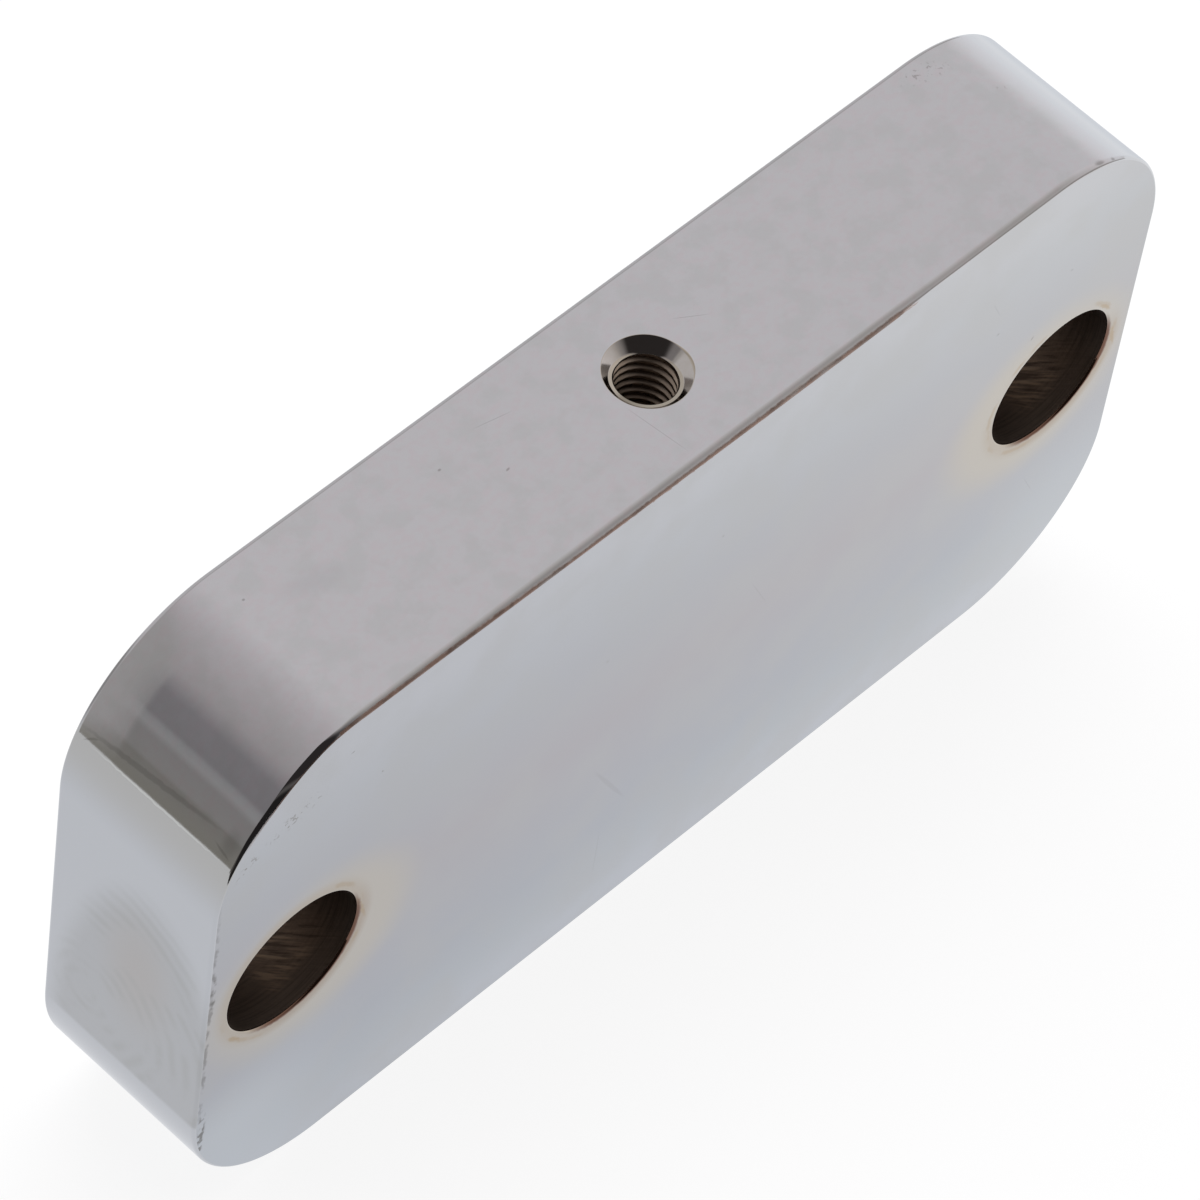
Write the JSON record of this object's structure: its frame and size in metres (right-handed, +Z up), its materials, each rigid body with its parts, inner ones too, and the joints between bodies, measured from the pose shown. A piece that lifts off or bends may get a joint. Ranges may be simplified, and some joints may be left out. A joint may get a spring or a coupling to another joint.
{
  "type": "machined mounting block",
  "caption": "Thick plated block with rounded corners, through holes near its ends and a countersunk tapped hole in its upper edge face.",
  "frame": {"origin": "middle of the lower edge face, on the surface the block stands on", "axes": "+X along the block towards its right end, +Y from the front face to the back face, +Z up"},
  "size_m": [0.14, 0.0228, 0.0758],
  "materials": {
    "plated_steel": "polished decorative chrome over nickel and copper"
  },
  "bodies": {
    "root": {"mounting_block": "plated_steel"}
  },
  "joints": []
}
